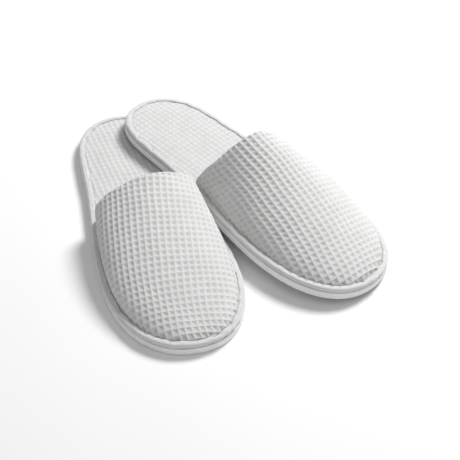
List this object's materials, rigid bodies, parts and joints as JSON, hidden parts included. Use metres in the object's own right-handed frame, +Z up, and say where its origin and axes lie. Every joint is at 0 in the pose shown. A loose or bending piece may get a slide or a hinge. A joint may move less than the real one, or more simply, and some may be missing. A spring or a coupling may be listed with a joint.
{
  "type": "spa slippers",
  "caption": "Pair of closed-toe spa slippers: flat layered soles with bound edges and padded waffle-cloth vamps, the left one resting its heel on the right one.",
  "frame": {"origin": "middle of the right slipper's sole on the ground, at half its length", "axes": "+Z up from the ground; the right slipper's toe points to -Y and its heel to +Y; +X is towards the left slipper"},
  "size_m": [0.2281, 0.2855, 0.0702],
  "materials": {
    "outsole_foam": "matt closed-cell foam, moulded fine ribs on its side",
    "backing_felt": "non-woven felt",
    "insole_board": "pressed fibre board",
    "padding_foam": "open-cell foam sheet",
    "waffle_cloth_insole": "white waffle-weave cotton",
    "binding_tape": "smooth white binding tape, slightly puckered",
    "sewing_thread": "white polyester thread",
    "waffle_cloth_vamp": "white waffle-weave cotton with deep square cells",
    "lining_cloth": "plain woven lining"
  },
  "bodies": {
    "right_slipper": {"right_outsole": "outsole_foam", "right_backing": "backing_felt", "right_insole_board": "insole_board", "right_insole_foam": "padding_foam", "right_insole_cover": "waffle_cloth_insole", "right_edge_binding": "binding_tape", "right_binding_stitches": "sewing_thread", "right_vamp_cover": "waffle_cloth_vamp", "right_vamp_foam": "padding_foam", "right_vamp_lining": "lining_cloth"},
    "left_slipper": {"left_outsole": "outsole_foam", "left_backing": "backing_felt", "left_insole_board": "insole_board", "left_insole_foam": "padding_foam", "left_insole_cover": "waffle_cloth_insole", "left_edge_binding": "binding_tape", "left_binding_stitches": "sewing_thread", "left_vamp_cover": "waffle_cloth_vamp", "left_vamp_foam": "padding_foam", "left_vamp_lining": "lining_cloth"}
  },
  "joints": [
    {"name": "left_slipper_lift", "type": "slide", "parent": "right_slipper", "child": "left_slipper", "axis": [0.5, 0, 0.866], "range_m": [0, 0.15]}
  ]
}
